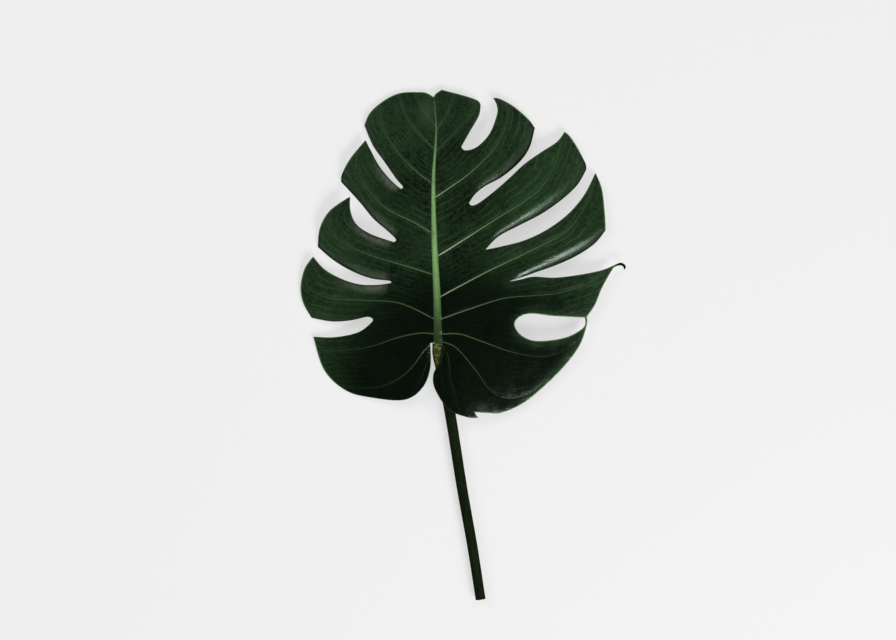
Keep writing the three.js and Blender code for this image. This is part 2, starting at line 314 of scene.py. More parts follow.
def lay_of_veins(points, settings):
    """What the surface and its colours need to know of the veins at each point."""
    count = len(points)
    midrib_gap, midrib_along, midrib_side = nearest_on_line(points, MIDRIB_LINE)
    midrib_width = midrib_half_width(midrib_along, settings)
    veins = {name: np.zeros(count) for name in ("gap", "width", "along", "paleness", "strand")}
    for sign, rows in ((-1, RIGHT_VEINS), (1, LEFT_VEINS)):
        here = np.flatnonzero(midrib_side == sign)
        spots = points[here]
        found = [nearest_on_line(spots, even_steps(spline(route, 10), 3)) for _, _, route in rows]
        gaps = np.array([f[0] for f in found])
        alongs = np.array([f[1] for f in found])
        sides = np.array([f[2] for f in found])
        index = np.arange(len(here))
        nearest = gaps.argmin(axis=0)
        gap = gaps[nearest, index]
        towards_tip = sides[nearest, index] == -sign
        neighbour = np.where(towards_tip, nearest - 1, nearest + 1)
        other = np.where(neighbour >= 0, gaps[np.clip(neighbour, 0, len(rows) - 1), index], gap + 30)
        other = np.where(neighbour < len(rows), other, gap + 30)
        share = gap / np.maximum(gap + other, 1e-6)
        veins["gap"][here] = gap
        veins["along"][here] = alongs[nearest, index]
        roots = np.array([row[0] for row in rows])
        veins["width"][here] = vein_half_width(roots[nearest], veins["along"][here])
        veins["paleness"][here] = np.array([row[1] for row in rows])[nearest]
        veins["strand"][here] = nearest + np.where(towards_tip, -share, share) + 20
    return midrib_gap, midrib_along, midrib_width, veins


def free_height(points):
    """The blade's height with its dome, bridge and fold, before its lobes curl and it meets the floor."""
    x, y = points[:, 0], points[:, 1]
    height = STAND + DOME["height"] * (1 - oval_gap(points, DOME) ** 2)
    height += BRIDGE["height"] * bump_of(oval_gap(points, BRIDGE), 1)
    midrib_x = np.interp(y, MIDRIB_LINE[:, 1], MIDRIB_LINE[:, 0])
    folded = smooth_step((y - FOLD["start"]) / FOLD["fade"]) * smooth_step((FOLD["end"] - y) / FOLD["fade"])
    return height - FOLD["depth"] * folded * bump_of(x - midrib_x, FOLD["width"])


def curl_and_roll(points, margin_gap, settings):
    """How far the lobes curl and roll down beside the splits, and how much each place belongs to a roll."""
    drop = np.zeros(len(points))
    rolled = np.zeros(len(points))
    for line, curled_side, depth, reach, other_depth in CURLS:
        middle_line = np.array(line, float)
        length = lengths_along(middle_line)[-1]
        gap, along, side = nearest_on_line(points, middle_line)
        curled = side == curled_side
        grown = smooth_step((along - CURL_START) / (CURL_FULL - CURL_START))
        curl = (1 - settings.roll_share) * depth * grown * bump_of(gap, reach) * curled
        opened = 0.4 + 0.6 * smooth_step(along * length / ROLL["opens"])
        across = margin_gap / (settings.roll_width * opened)
        crisp = CRISP_EDGE["share"] * np.clip(1 - across / CRISP_EDGE["width"], 0, 1) ** 2
        edge = opened * (np.clip(1 - across, 0, 1) ** 2 + crisp)
        near = smooth_step((ROLL["reach"] - gap) / ROLL["fade"])
        upper_roll = settings.roll_share * depth * smooth_step(along * length / ROLL["upper_grows"])
        lower_roll = other_depth * smooth_step(along * length / ROLL["lower_grows"])
        lower_roll = lower_roll * smooth_step((0.9 - along) / 0.45)
        roll = np.where(curled, upper_roll, lower_roll) * near
        drop = np.maximum(drop, curl + roll * edge)
        rolled = np.maximum(rolled, roll / 5)
    return drop, rolled


def blade_top(points, margin_gap, lay, settings):
    """Height of the blade's upper surface, with its quilting, vein grooves and gentle waves."""
    x, y = points[:, 0], points[:, 1]
    midrib_gap, midrib_along, midrib_width, veins = lay
    height = free_height(points) - curl_and_roll(points, margin_gap, settings)[0]
    outer = smooth_step(midrib_gap / 90)
    calm = 1 - 0.75 * painted_shade(points, np.full(len(points), FAR))
    waves = np.sin(x / WAVES["across"] + WAVES["across_start"])
    waves = waves * np.sin(y / WAVES["lengthwise"] + WAVES["lengthwise_start"])
    height += settings.wave * outer * calm * waves
    rooted = 1 - 0.7 * veins["along"]
    height -= settings.quilting * rooted * calm * bump_of(veins["gap"], QUILT_REACH)
    height -= settings.groove * rooted * bump_of(veins["gap"], 1.0 + veins["width"])
    height -= settings.margin_roll * calm * bump_of(margin_gap, MARGIN_REACH)
    height += settings.hook_lift * smooth_step((x - HOOK_LIFT["start"]) / HOOK_LIFT["length"])
    eased = (height + np.hypot(height, FLOOR_EASE)) / 2 + SOLID_THICKNESS
    beside = midrib_gap / midrib_width
    eased -= 0.3 * (1 - 0.6 * midrib_along) * bump_of(beside - 1.15, 0.3)
    eased += settings.midrib_proud * (1 - midrib_along) * np.sqrt(np.clip(1 - beside ** 2, 0, 1))
    return eased


def blade_depth(margin_gap, lay, settings):
    """How thick the blade is: thin towards the margin, with ribs under the midrib and the side veins."""
    midrib_gap, midrib_along, midrib_width, veins = lay
    thick = settings.thickness * (0.55 + 0.45 * smooth_step(margin_gap / 2.5))
    depth = settings.midrib_depth * (0.1 + 0.9 * (1 - midrib_along))
    ribs = depth * np.sqrt(np.clip(1 - (midrib_gap / midrib_width) ** 2, 0, 1))
    rib_width = 1.9 * veins["width"] + 0.15
    side_ribs = 2.0 * veins["width"] * np.sqrt(np.clip(1 - (veins["gap"] / rib_width) ** 2, 0, 1))
    return thick + np.maximum(ribs, side_ribs * smooth_step(margin_gap / 6))


def nearest_gaps(points, others):
    """The distance from each point to the nearest of the others."""
    tree = KDTree(len(others))
    for i, (x, y) in enumerate(others):
        tree.insert((x, y, 0), i)
    tree.balance()
    return np.array([tree.find((x, y, 0))[2] for x, y in points])


def far_enough(candidates, placed, distance):
    """The candidates that keep a distance from every point placed so far."""
    return candidates[nearest_gaps(candidates, placed) > distance]


def midrib_rows(settings, step):
    """Rows of points along the midrib and beside it, so that its round section has an edge."""
    line = even_steps(MIDRIB_LINE, step)
    along = np.linspace(0, 1, len(line))
    width = midrib_half_width(along, settings)
    slope = np.gradient(line, axis=0)
    normal = right_of(slope)
    rows = [line]
    for share in (0.5, 0.8, 0.97, 1.15, 1.45):
        wide = width > (1.8 if share in (0.8, 1.15) else 1.2)
        for side in (-1, 1):
            rows.append((line + side * share * width[:, None] * normal)[wide])
    return np.vstack(rows)


def vein_rows(step):
    """Rows of points along every side vein, and beside it while it is wide."""
    rows = []
    for root, _, route in RIGHT_VEINS[1:] + LEFT_VEINS[1:]:
        line = even_steps(spline(route, 10), step)
        along = np.linspace(0, 1, len(line))
        width = 1.9 * vein_half_width(root, along) + 0.15
        slope = np.gradient(line, axis=0)
        normal = right_of(slope)
        rows.append(line)
        for side in (-1, 1):
            rows.append(line + side * np.maximum(width, 0.9)[:, None] * normal)
            rows.append((line + side * 0.55 * width[:, None] * normal)[width > 1.5])
    return rows


def inset_row(loop, inset, loops):
    """Points a little inside a closed loop, so that the margin's roll is round."""
    slope = np.roll(loop, -1, axis=0) - np.roll(loop, 1, axis=0)
    normal = -right_of(slope)
    inwards = np.where(inside(loop + 0.2 * normal, loops), 1, -1)[:, None]
    return loop + inset * inwards * normal


def blade_points(settings):
    """Where the blade's mesh has its points: the margin first, then the veins, then an even field."""
    step = settings.point_spacing
    loops = [margin_loop(0.75 * step), hole_loop(0.75 * step)]
    margin = np.vstack(loops)
    kept = margin
    for inset in (0.5 * step, 1.1 * step, 1.8 * step):
        for loop in loops:
            row = inset_row(loop, inset, loops)
            kept = np.vstack([kept, far_enough(row[inside(row, loops)], kept, 0.46 * step)])
    for row in [midrib_rows(settings, 0.8 * step)] + vein_rows(0.8 * step):
        row = row[inside(row, loops)]
        if len(row):
            kept = np.vstack([kept, far_enough(row, kept, 0.36 * step)])
    low, high = margin.min(axis=0), margin.max(axis=0)
    rows = np.arange(low[1], high[1], step * math.sqrt(3) / 2)
    field = []
    for i, y in enumerate(rows):
        xs = np.arange(low[0] + (i % 2) * step / 2, high[0], step)
        field.append(np.stack([xs, np.full(len(xs), y)], axis=1))
    field = np.vstack(field)
    field = field[inside(field, loops)]
    return loops, np.vstack([kept, far_enough(field, kept, 0.62 * step)])


def blade_triangles(points, loops):
    """Triangles between the points that lie on the blade, and none across a split."""
    edges = []
    start = 0
    for loop in loops:
        count = len(loop)
        edges += [(start + i, start + (i + 1) % count) for i in range(count)]
        start += count
    corners, _, faces, origins, _, _ = delaunay_2d_cdt([Vector(p) for p in points], edges, [], 0, 1e-6)
    if len(corners) != len(points):
        raise RuntimeError("the blade's margin crosses itself")
    source = np.array([origin[0] for origin in origins])
    triangles = source[np.array(faces)]
    centres = points[triangles].mean(axis=1)
    triangles = triangles[inside(centres, loops)]
    a, b, c = (points[triangles[:, k]] for k in range(3))
    turned = (b[:, 0] - a[:, 0]) * (c[:, 1] - a[:, 1]) < (b[:, 1] - a[:, 1]) * (c[:, 0] - a[:, 0])
    triangles[turned] = triangles[turned][:, ::-1]
    return triangles, np.array(edges)


def drawing_to_frame():
    """Where the drawing's knee lies in the frame, in millimetres, from the solid's own box."""
    low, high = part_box("leaf_blade")
    margin = margin_loop(1)
    middle = (margin.min(axis=0) + margin.max(axis=0)) / 2
    return np.array([(low.x + high.x) / 2, (low.y + high.y) / 2]) / MM - middle


def make_blade_mesh(settings):
    loops, points = blade_points(settings)
    triangles, edges = blade_triangles(points, loops)
    margin_gap = nearest_gaps(points, np.vstack([margin_loop(0.4), hole_loop(0.4)]))
    lay = lay_of_veins(points, settings)
    top = blade_top(points, margin_gap, lay, settings)
    bottom = top - blade_depth(margin_gap, lay, settings)
    lift = 0.02 - min(0, bottom.min())
    placed = points + drawing_to_frame()
    count = len(points)
    rim_count = sum(len(loop) for loop in loops)
    # the rim: one more ring of points half way down the margin, pushed out a little to round it
    ahead = np.zeros(rim_count, int)
    behind = np.zeros(rim_count, int)
    ahead[edges[:, 0]] = edges[:, 1]
    behind[edges[:, 1]] = edges[:, 0]
    slope = points[ahead] - points[behind]
    outward = -right_of(slope)
    probe = points[:rim_count] + 0.2 * outward
    outward *= np.where(inside(probe, loops), -1, 1)[:, None]
    rim_height = (top[:rim_count] + bottom[:rim_count]) / 2
    rim = np.column_stack([placed[:rim_count] + settings.rim_round * outward, rim_height])
    upper = np.column_stack([placed, top])
    lower = np.column_stack([placed, bottom])
    vertices = np.vstack([upper, lower, rim])
    vertices[:, 2] += lift
    faces = [tuple(t) for t in triangles] + [tuple(t[::-1] + count) for t in triangles]
    mid = 2 * count
    directed = {(t[k], t[(k + 1) % 3]) for t in triangles for k in range(3)}
    for a, b in edges:
        first, second = (a, b) if (a, b) in directed else (b, a)
        faces.append((second, first, mid + first, mid + second))
        faces.append((mid + second, mid + first, count + first, count + second))
    mesh = bpy.data.meshes.new("monstera_blade")
    mesh.from_pydata((vertices * MM).tolist(), [], [tuple(int(i) for i in face) for face in faces])
    mesh.polygons.foreach_set("use_smooth", [True] * len(mesh.polygons))
    midrib_gap, midrib_along, midrib_width, veins = lay
    fields = {
        "margin_gap": np.minimum(margin_gap, FAR),
        "midrib_gap": midrib_gap - midrib_width,
        "midrib_share": np.minimum(midrib_gap / midrib_width, 3),
        "vein_gap": np.minimum(veins["gap"] - 0.5 * veins["width"], FAR),
        "vein_along": veins["along"],
        "vein_paleness": veins["paleness"],
        "strand": veins["strand"],
        "midrib_along": midrib_along,
        "rolled": curl_and_roll(points, margin_gap, settings)[1],
        "near_split": split_nearness(points),
        "painted_shade": painted_shade(points, margin_gap),
        "painted_tip_sheen": painted_tip_sheen(points),
        "painted_sheen": painted_sheen(points, margin_gap),
    }
    for name, values in fields.items():
        write_field(mesh, name, np.concatenate([values, values, values[:rim_count]]))
    upper_face = np.concatenate([np.ones(count), np.zeros(count), np.full(rim_count, 0.5)])
    write_field(mesh, "upper_side", upper_face)
    mesh.validate()
    mesh.update()
    return mesh


def split_nearness(points):
    """1 on the margins beside the splits and on the hooked tip, and 0 on the lobes' outer margins."""
    gaps = [nearest_on_line(points, np.array(row[0], float))[0] for row in CURLS]
    return np.maximum(bump_of(np.min(gaps, axis=0), 17), hook_share(points))


def hook_share(points):
    """From 0 on the lobe to 1 on its thin hooked tip."""
    return smooth_step((points[:, 0] - HOOK["start"]) / HOOK["fade"])


def painted_shade(points, margin_gap):
    """Painted shade: 1 on the basal lobes round the knee and on the hooked tip, less round the splits' inner
    ends, and lighter near the margin on the right.
    """
    lit_margin = smooth_step((points[:, 0] - 50) / 60) * bump_of(margin_gap, 7)
    inwards = (KNEE_SHADE["reach"] - oval_gap(points, KNEE_SHADE)) / KNEE_SHADE["fade"]
    painted_shade_share = smooth_step(inwards) * (1 - 0.75 * lit_margin)
    painted_shade_share = np.maximum(painted_shade_share, 0.8 * hook_share(points))
    for line, *_ in CURLS:
        from_end = np.linalg.norm(points - np.array(line[0], float), axis=1)
        painted_shade_share = np.maximum(painted_shade_share, 0.45 * bump_of(from_end, 28))
    return painted_shade_share


def painted_tip_sheen(points):
    """1 on the small painted sheen beside the notch at the leaf's tip."""
    return bump_of(oval_gap(points, TIP_SHEEN_PATCH), 1)


def painted_sheen(points, margin_gap):
    """1 where the left lobes get a painted sheen beside their splits, near the splits' inner ends."""
    painted_sheen_share = np.zeros(len(points))
    for line, curled_side, depth, *_ in CURLS[4:7]:
        gap, along, side = nearest_on_line(points, np.array(line, float))
        inner = smooth_step(along / 0.12) * smooth_step((0.75 - along) / 0.55) * smooth_step((26 - gap) / 12)
        curled = (depth - 3) / 5 * bump_of(margin_gap - 4, 4)
        painted_sheen_share = np.maximum(painted_sheen_share, inner * np.where(side == curled_side, curled, bump_of(margin_gap - 3, 5)))
    return painted_sheen_share


def place_object(name, data):
    made = bpy.data.objects.new(name, data)
    bpy.context.scene.collection.objects.link(made)
    return made


def write_field(mesh, name, values):
    field = mesh.attributes.new(name, "FLOAT", "POINT")
    field.data.foreach_set("value", np.ascontiguousarray(values, np.float32))


# ------------------------------------------------------------------ materials

def linear(red, green, blue):
    """A screen colour, 0 to 255 a channel, as the linear values that shaders take."""
    def channel(value):
        value /= 255
        return value / 12.92 if value <= 0.04045 else ((value + 0.055) / 1.055) ** 2.4
    return (channel(red), channel(green), channel(blue))


class Shades:
    """A short way to write a material's node tree."""

    def __init__(self, name):
        self.material = bpy.data.materials.new(name)
        self.material.use_nodes = True
        self.tree = self.material.node_tree
        self.tree.nodes.clear()
        self.shader = self.node("ShaderNodeBsdfPrincipled")
        output = self.node("ShaderNodeOutputMaterial")
        self.tree.links.new(self.shader.outputs[0], output.inputs["Surface"])

    def node(self, kind, **settings):
        made = self.tree.nodes.new(kind)
        for key, value in settings.items():
            setattr(made, key, value)
        return made

    def put(self, socket, value):
        if isinstance(value, bpy.types.NodeSocket):
            self.tree.links.new(value, socket)
        elif socket.type == "RGBA" and len(value) == 3:
            socket.default_value = (*value, 1)
        else:
            socket.default_value = value

    def field(self, name):
        return self.node("ShaderNodeAttribute", attribute_name=name).outputs["Fac"]

    def place(self):
        return self.node("ShaderNodeTexCoord").outputs["Object"]

    def math(self, operation, *values):
        made = self.node("ShaderNodeMath", operation=operation)
        for socket, value in zip(made.inputs, values):
            self.put(socket, value)
        return made.outputs[0]

    def times(self, first, *others):
        for other in others:
            first = self.math("MULTIPLY", first, other)
        return first

    def ramp(self, value, low, high, to_low=0.0, to_high=1.0):
        """A smooth step from one value to another while the input goes from low to high."""
        made = self.node("ShaderNodeMapRange", interpolation_type="SMOOTHSTEP")
        for socket, number in zip(made.inputs, (value, low, high, to_low, to_high)):
            self.put(socket, number)
        return made.outputs[0]

    def mix(self, share, first, second, blend="MIX"):
        made = self.node("ShaderNodeMix", data_type="RGBA", blend_type=blend)
        self.put(made.inputs["Factor"], share)
        self.put(made.inputs[6], first)
        self.put(made.inputs[7], second)
        return made.outputs[2]

    def noise(self, size, detail=3.0, roughness=0.5, stretch=None):
        """Cloudy noise with blotches of about the given size in metres."""
        made = self.node("ShaderNodeTexNoise")
        where = self.place()
        if stretch:
            turned = self.node("ShaderNodeMapping", vector_type="POINT")
            self.put(turned.inputs["Vector"], where)
            turned.inputs["Scale"].default_value = stretch
            where = turned.outputs[0]
        self.put(made.inputs["Vector"], where)
        made.inputs["Scale"].default_value = 1 / size
        made.inputs["Detail"].default_value = detail
        made.inputs["Roughness"].default_value = roughness
        return made.outputs["Fac"]

    def cells(self, size, feature="DISTANCE_TO_EDGE"):
        made = self.node("ShaderNodeTexVoronoi", feature=feature)
        self.put(made.inputs["Vector"], self.place())
        made.inputs["Scale"].default_value = 1 / size
        return made.outputs["Distance"]

    def bump(self, height, depth, strength=1.0, after=None):
        """Relief: height 0 to 1 stands for the given depth in metres."""
        made = self.node("ShaderNodeBump")
        made.inputs["Strength"].default_value = strength
        made.inputs["Distance"].default_value = depth
        self.put(made.inputs["Height"], height)
        if after is not None:
            self.put(made.inputs["Normal"], after)
        return made.outputs[0]

    def finish(self, colour, roughness, normal, **constants):
        self.put(self.shader.inputs["Base Color"], colour)
        self.put(self.shader.inputs["Roughness"], roughness)
        self.put(self.shader.inputs["Normal"], normal)
        for name, value in constants.items():
            self.shader.inputs[name.replace("_", " ")].default_value = value
        return self.material


def leaf_material(settings):
    s = Shades("leaf")
    upper = s.ramp(s.field("upper_side"), 0.35, 0.75)
    margin = s.field("margin_gap")
    vein = s.field("vein_gap")
    along = s.field("vein_along")
    paleness = s.field("vein_paleness")
    midrib = s.field("midrib_gap")
    midrib_along = s.field("midrib_along")
    share = s.field("midrib_share")
    painted_shade_share = s.field("painted_shade")
    rolled = s.ramp(s.field("rolled"), 0.15, 0.8)
    # fine veins run beside the side veins, a fixed number between each pair
    phase = s.times(s.field("strand"), float(settings.strands))
    wander = s.times(s.noise(0.022, 2.0), 0.9)
    tooth = s.math("ABSOLUTE", s.math("SUBTRACT", s.math("FRACT", s.math("ADD", phase, wander)), 0.5))
    strand = s.ramp(tooth, 0.3, 0.5)
    strand = s.times(strand, s.ramp(s.noise(0.018, 3.0), 0.38, 0.6, 0.1, 1.0))
    thread = s.math("FRACT", s.times(s.math("ADD", phase, wander), 3.3))
    thread = s.ramp(s.math("ABSOLUTE", s.math("SUBTRACT", thread, 0.5)), 0.22, 0.5)
    thread = s.times(thread, s.ramp(s.noise(0.006, 3.0), 0.42, 0.6))
    # blade colour: cloudy greens, fresher towards the outer margins, with painted shade round the knee and
    # painted sheen by the notch and beside the left splits
    cloud = s.ramp(s.noise(0.04, 5.0, 0.6), 0.36, 0.64)
    speckle = s.ramp(s.noise(0.0028, 4.0, 0.65), 0.38, 0.66)
    fresh = s.times(s.ramp(s.noise(0.07, 2.0), 0.4, 0.62, 0.3, 1.0), s.ramp(midrib, 8.0, 85.0))
    blade = s.mix(cloud, settings.dark_green, settings.mid_green)
    blade = s.mix(s.times(fresh, 0.6), blade, settings.fresh_green)
    blade = s.mix(s.times(speckle, 0.36), blade, settings.light_green)
    blade = s.mix(s.times(strand, 0.6), blade, settings.light_green)
    blade = s.mix(s.times(thread, 0.32), blade, settings.light_green)
    blade = s.mix(s.ramp(vein, 0.0, 4.0, 0.22, 0.0), blade, settings.light_green)
    # painted sheen: the small pale patch beside the notch
    blade = s.mix(s.times(s.field("painted_tip_sheen"), 0.6), blade, settings.light_green)
    # painted shade, darkest on the basal lobes round the knee
    blade = s.mix(s.times(painted_shade_share, 0.9), blade, settings.painted_shade_green)
    # painted sheen beside the left splits, broken up by noise
    painted_sheen_share = s.times(s.field("painted_sheen"), s.ramp(s.noise(0.005, 4.0, 0.65), 0.3, 0.65, 0.3, 0.85))
    blade = s.mix(painted_sheen_share, blade, settings.painted_sheen_green)
    # veins, paler on the right and near their roots, and dimmer under the painted shade
    line = s.ramp(vein, -0.12, 0.42, 1.0, 0.0)
    line = s.times(line, s.ramp(along, 0.0, 0.9, 1.0, 0.16))
    tinted = s.times(paleness, s.ramp(painted_shade_share, 0.2, 1.0, 0.95, 0.6), line)
    root = s.times(s.ramp(along, 0.0, 0.45, 1.0, 0.0), s.ramp(paleness, 0.8, 1.0, 0.0, 0.8))
    blade = s.mix(tinted, blade, s.mix(root, settings.vein_green, settings.vein_pale))
    # midrib: a pale band with painted shade on its sides and by the knee, that fades towards the tip
    middle = s.ramp(midrib, -0.4, 0.3, 1.0, 0.0)
    streak = s.ramp(s.noise(0.0014, 2.0, 0.5, (1, 0.05, 1)), 0.3, 0.7)
    # painted shade on the midrib's sides, so that it looks round
    rib = s.mix(s.ramp(share, 0.15, 0.95, 0.0, 0.8), settings.midrib_green, settings.midrib_side_shade)
    rib = s.mix(s.times(streak, 0.25), rib, settings.vein_green)
    # painted shade on the midrib by the knee
    rib = s.mix(s.ramp(midrib_along, 0.02, 0.36, 0.95, 0.0), rib, settings.midrib_knee_shade)
    middle = s.times(middle, s.ramp(midrib_along, 0.6, 0.96, 1.0, 0.25))
    blade = s.mix(middle, blade, rib)
    # a thin pale rim on the outer margins, fading under the painted shade, and painted shade on the edge
    # where the margin rolls under
    open_margin = s.math("SUBTRACT", 1.0, s.field("near_split"))
    rim = s.times(s.ramp(margin, 0.2, 1.5, 0.85, 0.0), open_margin)
    rim = s.times(rim, s.ramp(painted_shade_share, 0.35, 0.95, 1.0, 0.1))
    blade = s.mix(rim, blade, settings.rim_green)
    # painted shade along the edge where the margin rolls under
    painted_edge_shade = s.times(s.ramp(margin, 0.5, 2.6, 1.0, 0.0), rolled)
    blade = s.mix(s.times(painted_edge_shade, 0.9), blade, settings.painted_shade_green)
    # underside: paler and matt, with the same veins
    under = s.mix(cloud, settings.under_dark, settings.under_light)
    under = s.mix(s.times(strand, 0.35), under, settings.vein_green)
    under = s.mix(s.times(line, 0.8), under, settings.vein_green)
    under = s.mix(middle, under, settings.midrib_green)
    colour = s.mix(upper, under, blade)
    # wax: an uneven sheen, duller on the underside and on the midrib, and smoother round the knee
    wax = s.ramp(s.noise(0.012, 4.0, 0.6), 0.3, 0.7, settings.gloss - 0.05, settings.gloss + 0.06)
    rough = s.math("ADD", wax, s.times(middle, 0.1))
    rough = s.math("ADD", rough, s.ramp(upper, 0.0, 1.0, 0.25, 0.0))
    rough = s.math("SUBTRACT", rough, s.times(painted_shade_share, upper, 0.13))
    # relief: fine veins pressed in, a net between them, and a leathery skin
    net = s.ramp(s.cells(0.0042), 0.0, 0.12, 1.0, 0.0)
    relief = s.bump(s.math("SUBTRACT", 1.0, strand), 0.00008, 0.8)
    relief = s.bump(s.math("SUBTRACT", 1.0, net), 0.00004, 0.7, relief)
    skin = s.times(s.noise(0.0011, 3.0, 0.6), s.math("SUBTRACT", 1.0, middle))
    relief = s.bump(skin, 0.00004, 0.6, relief)
    relief = s.bump(line, 0.00012, 0.8, relief)
    relief = s.bump(s.times(streak, middle), 0.00006, 0.7, relief)
    return s.finish(colour, rough, relief, Specular_IOR_Level=settings.wax,
                    Specular_Tint=(0.8, 1.0, 0.86, 1.0))


def stalk_material(settings):
    s = Shades("stalk")
    from_knee = s.field("from_knee")
    cut = s.field("cut_end")
    fibres = s.ramp(s.noise(0.0013, 3.0, 0.6, (1, 0.05, 1)), 0.3, 0.7)
    cloud = s.ramp(s.noise(0.03, 3.0), 0.35, 0.65)
    colour = s.mix(cloud, settings.stalk_dark, settings.stalk_green)
    colour = s.mix(s.times(fibres, 0.3), colour, settings.stalk_light)
    # pale flecks along the stalk
    fleck = s.ramp(s.cells(0.0036, "F1"), 0.1, 0.26, 1.0, 0.0)
    fleck = s.times(fleck, s.ramp(s.noise(0.007, 1.0), 0.52, 0.6))
    colour = s.mix(s.times(fleck, 0.5), colour, settings.stalk_light)
    # the knee is yellower, and browner in its wrinkles
    knee = s.ramp(from_knee, 20.0, 34.0, 1.0, 0.0)
    colour = s.mix(knee, colour, settings.knee_olive)
    wander = s.times(s.noise(0.008, 3.0), 16.0)
    wrinkle = s.math("SINE", s.math("ADD", s.times(from_knee, WRINKLES_PER_MM), wander))
    crease = s.times(s.ramp(wrinkle, 0.2, 1.0), knee)
    colour = s.mix(s.times(crease, 0.35), colour, settings.knee_brown)
    pale = s.ramp(s.noise(0.009, 3.0, 0.6), 0.48, 0.6)
    colour = s.mix(s.times(pale, knee, 0.75), colour, settings.knee_yellow)
    blotch = s.ramp(s.noise(0.005, 3.0, 0.6), 0.44, 0.6)
    colour = s.mix(s.times(blotch, knee, 0.75), colour, settings.knee_brown)
    # the cut end: pale pith with darker vessels and a drying rim
    vessels = s.ramp(s.cells(0.0011, "F1"), 0.14, 0.3, 1.0, 0.0)
    pith = s.mix(s.times(vessels, 0.6), settings.pith, settings.knee_brown)
    colour = s.mix(cut, colour, pith)
    rough = s.ramp(s.noise(0.01, 3.0), 0.3, 0.7, 0.38, 0.52)
    rough = s.math("ADD", rough, s.times(cut, 0.3))
    relief = s.bump(fibres, 0.00012, 0.7)
    relief = s.bump(crease, 0.0003, 0.7, relief)
    relief = s.bump(fleck, 0.00012, 0.6, relief)
    return s.finish(colour, rough, relief, Specular_IOR_Level=0.15)


# ------------------------------------------------------------------ the stalk, swept by Geometry Nodes

class Tree:
    """A short way to write a Geometry Nodes tree with named inputs."""

    def __init__(self, name):
        self.group = bpy.data.node_groups.new(name, "GeometryNodeTree")
        self.group.interface.new_socket("Geometry", in_out="INPUT", socket_type="NodeSocketGeometry")
        self.group.interface.new_socket("Geometry", in_out="OUTPUT", socket_type="NodeSocketGeometry")
        self.values = []
        self.source = None

    def number(self, name, value, description):
        socket = self.group.interface.new_socket(name, in_out="INPUT", socket_type="NodeSocketFloat")
        socket.default_value = value
        socket.description = description
        self.values.append((socket.identifier, value))

    def material(self, name, value):
        socket = self.group.interface.new_socket(name, in_out="INPUT", socket_type="NodeSocketMaterial")
        self.values.append((socket.identifier, value))

    def begin(self):
        self.source = self.group.nodes.new("NodeGroupInput")
        return self.source.outputs["Geometry"]

    def given(self, name):
        return self.source.outputs[name]

    def add(self, kind, inputs=(), **settings):
        made = self.group.nodes.new(kind)
        for key, value in settings.items():
            setattr(made, key, value)
        pairs = inputs.items() if isinstance(inputs, dict) else enumerate(inputs)
        for key, value in pairs:
            self.put(made.inputs[key], value)
        return made

    def put(self, socket, value):
        if isinstance(value, bpy.types.NodeSocket):
            self.group.links.new(value, socket)
        else:
            socket.default_value = value

    def math(self, operation, *values):
        return self.add("ShaderNodeMath", values, operation=operation).outputs[0]

    def times(self, first, *others):
        for other in others:
            first = self.math("MULTIPLY", first, other)
        return first

    def field(self, name):
        return self.add("GeometryNodeInputNamedAttribute", {"Name": name}, data_type="FLOAT").outputs[0]

    def blend_curve(self, *values):
        """A smooth step: the input, its low and high ends, and the results there."""
        return self.add("ShaderNodeMapRange", values, interpolation_type="SMOOTHSTEP").outputs[0]

    def end(self, geometry):
        output = self.group.nodes.new("NodeGroupOutput")
        self.group.links.new(geometry, output.inputs["Geometry"])

    def apply_to(self, holder):
        """Runs the tree on an object and hands back the result as a plain mesh object of the same name."""
        modifier = holder.modifiers.new("build", "NODES")
        modifier.node_group = self.group
        for identifier, value in self.values:
            modifier[identifier] = value
        graph = bpy.context.evaluated_depsgraph_get()
        mesh = bpy.data.meshes.new_from_object(holder.evaluated_get(graph), depsgraph=graph)
        name = holder.name
        holder.modifiers.remove(modifier)
        bpy.data.objects.remove(holder)
        mesh.name = name
        return place_object(name, mesh)


def stalk_route(settings):
    """The stalk's centre line in the frame, from the cut end to just inside the midrib, in millimetres."""
    flat = even_steps(spline(STALK_ROUTE, 24, 0.5), 0.8)
    flat = np.vstack([flat, flat[-1] + np.array(STALK_TAIL)])
    lengths = lengths_along(flat)
    to_knee = lengths[-1] - STALK_TAIL[-1][1]
    from_knee = to_knee - lengths
    share = 1 - np.clip(from_knee, 0, None) / to_knee
    radius = settings.cut_radius + (settings.top_radius - settings.cut_radius) * share
    radius += settings.knee_swell * bump_of(from_knee - 16, 13)
    height = radius + settings.clearance + settings.knee_rise * bump_of(from_knee, 22)
    placed = flat + drawing_to_frame()
    return np.column_stack([placed, height]), from_knee, radius


def route_object(name, route, from_knee, radius):
    """A loose line of points that carries the stalk's radius and the distance from the knee."""
    mesh = bpy.data.meshes.new(name)
    mesh.from_pydata((route * MM).tolist(), [(i, i + 1) for i in range(len(route) - 1)], [])
    write_field(mesh, "from_knee", from_knee)
    write_field(mesh, "stalk_radius", radius * MM)
    return place_object(name, mesh)


